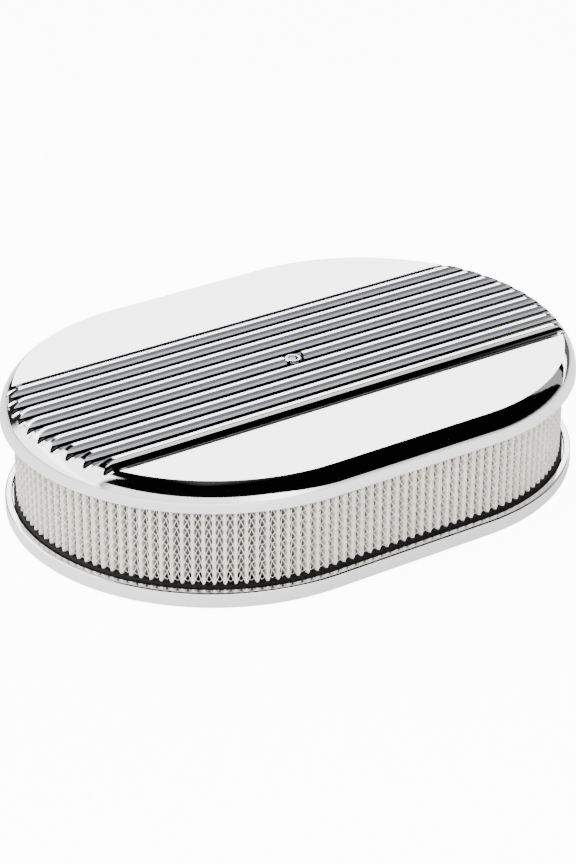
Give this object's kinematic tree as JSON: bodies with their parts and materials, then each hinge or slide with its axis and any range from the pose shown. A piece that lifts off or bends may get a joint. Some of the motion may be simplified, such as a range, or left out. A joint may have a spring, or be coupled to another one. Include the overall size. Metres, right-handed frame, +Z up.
{
  "type": "carburetor air cleaner",
  "caption": "Low oval air cleaner for a carburetor: polished lid with lengthwise ribs, pleated wire-faced element between rubber seals, and a rimmed base pan with a round neck.",
  "frame": {"origin": "middle of the underside of the base pan, on the axis of the neck bore", "axes": "+X along the length of the oval and the ribs, +Y across it, +Z up through the stud towards the lid"},
  "size_m": [0.3048, 0.2138, 0.0687],
  "materials": {
    "polished_lid": "polished to a mirror",
    "polished_pan": "polished",
    "cotton_media": "fibrous, off-white",
    "screen_wire": "bright drawn wire",
    "seal_rubber": "matt moulded",
    "gasket_rubber": "matt sheet",
    "plated_steel": "bright plated",
    "nut_chrome": "polished plating"
  },
  "bodies": {
    "base": {"base_pan": "polished_pan", "neck_gasket": "gasket_rubber", "lower_seal": "seal_rubber", "filter_media": "cotton_media", "outer_screen": "screen_wire", "inner_screen": "screen_wire", "upper_seal": "seal_rubber"},
    "lid": {"lid": "polished_lid", "stud": "plated_steel"},
    "washer": {"nut_washer": "plated_steel"},
    "nut": {"hold_down_nut": "nut_chrome"}
  },
  "joints": [
    {"name": "lid_lift", "type": "slide", "parent": "base", "child": "lid", "axis": [0, 0, 1], "range_m": [0, 0.09]},
    {"name": "nut_rise", "type": "slide", "parent": "lid", "child": "washer", "axis": [0, 0, 1], "range_m": [0, 0.00508]},
    {"name": "nut_turn", "type": "hinge", "parent": "washer", "child": "nut", "pos_m": [0, 0, 0.0608], "axis": [0, 0, 1], "range_deg": [0, 1441]}
  ],
  "couplings": [
    {"joint": "nut_turn", "follows": "nut_rise", "rad_per_m": 4947.4}
  ]
}
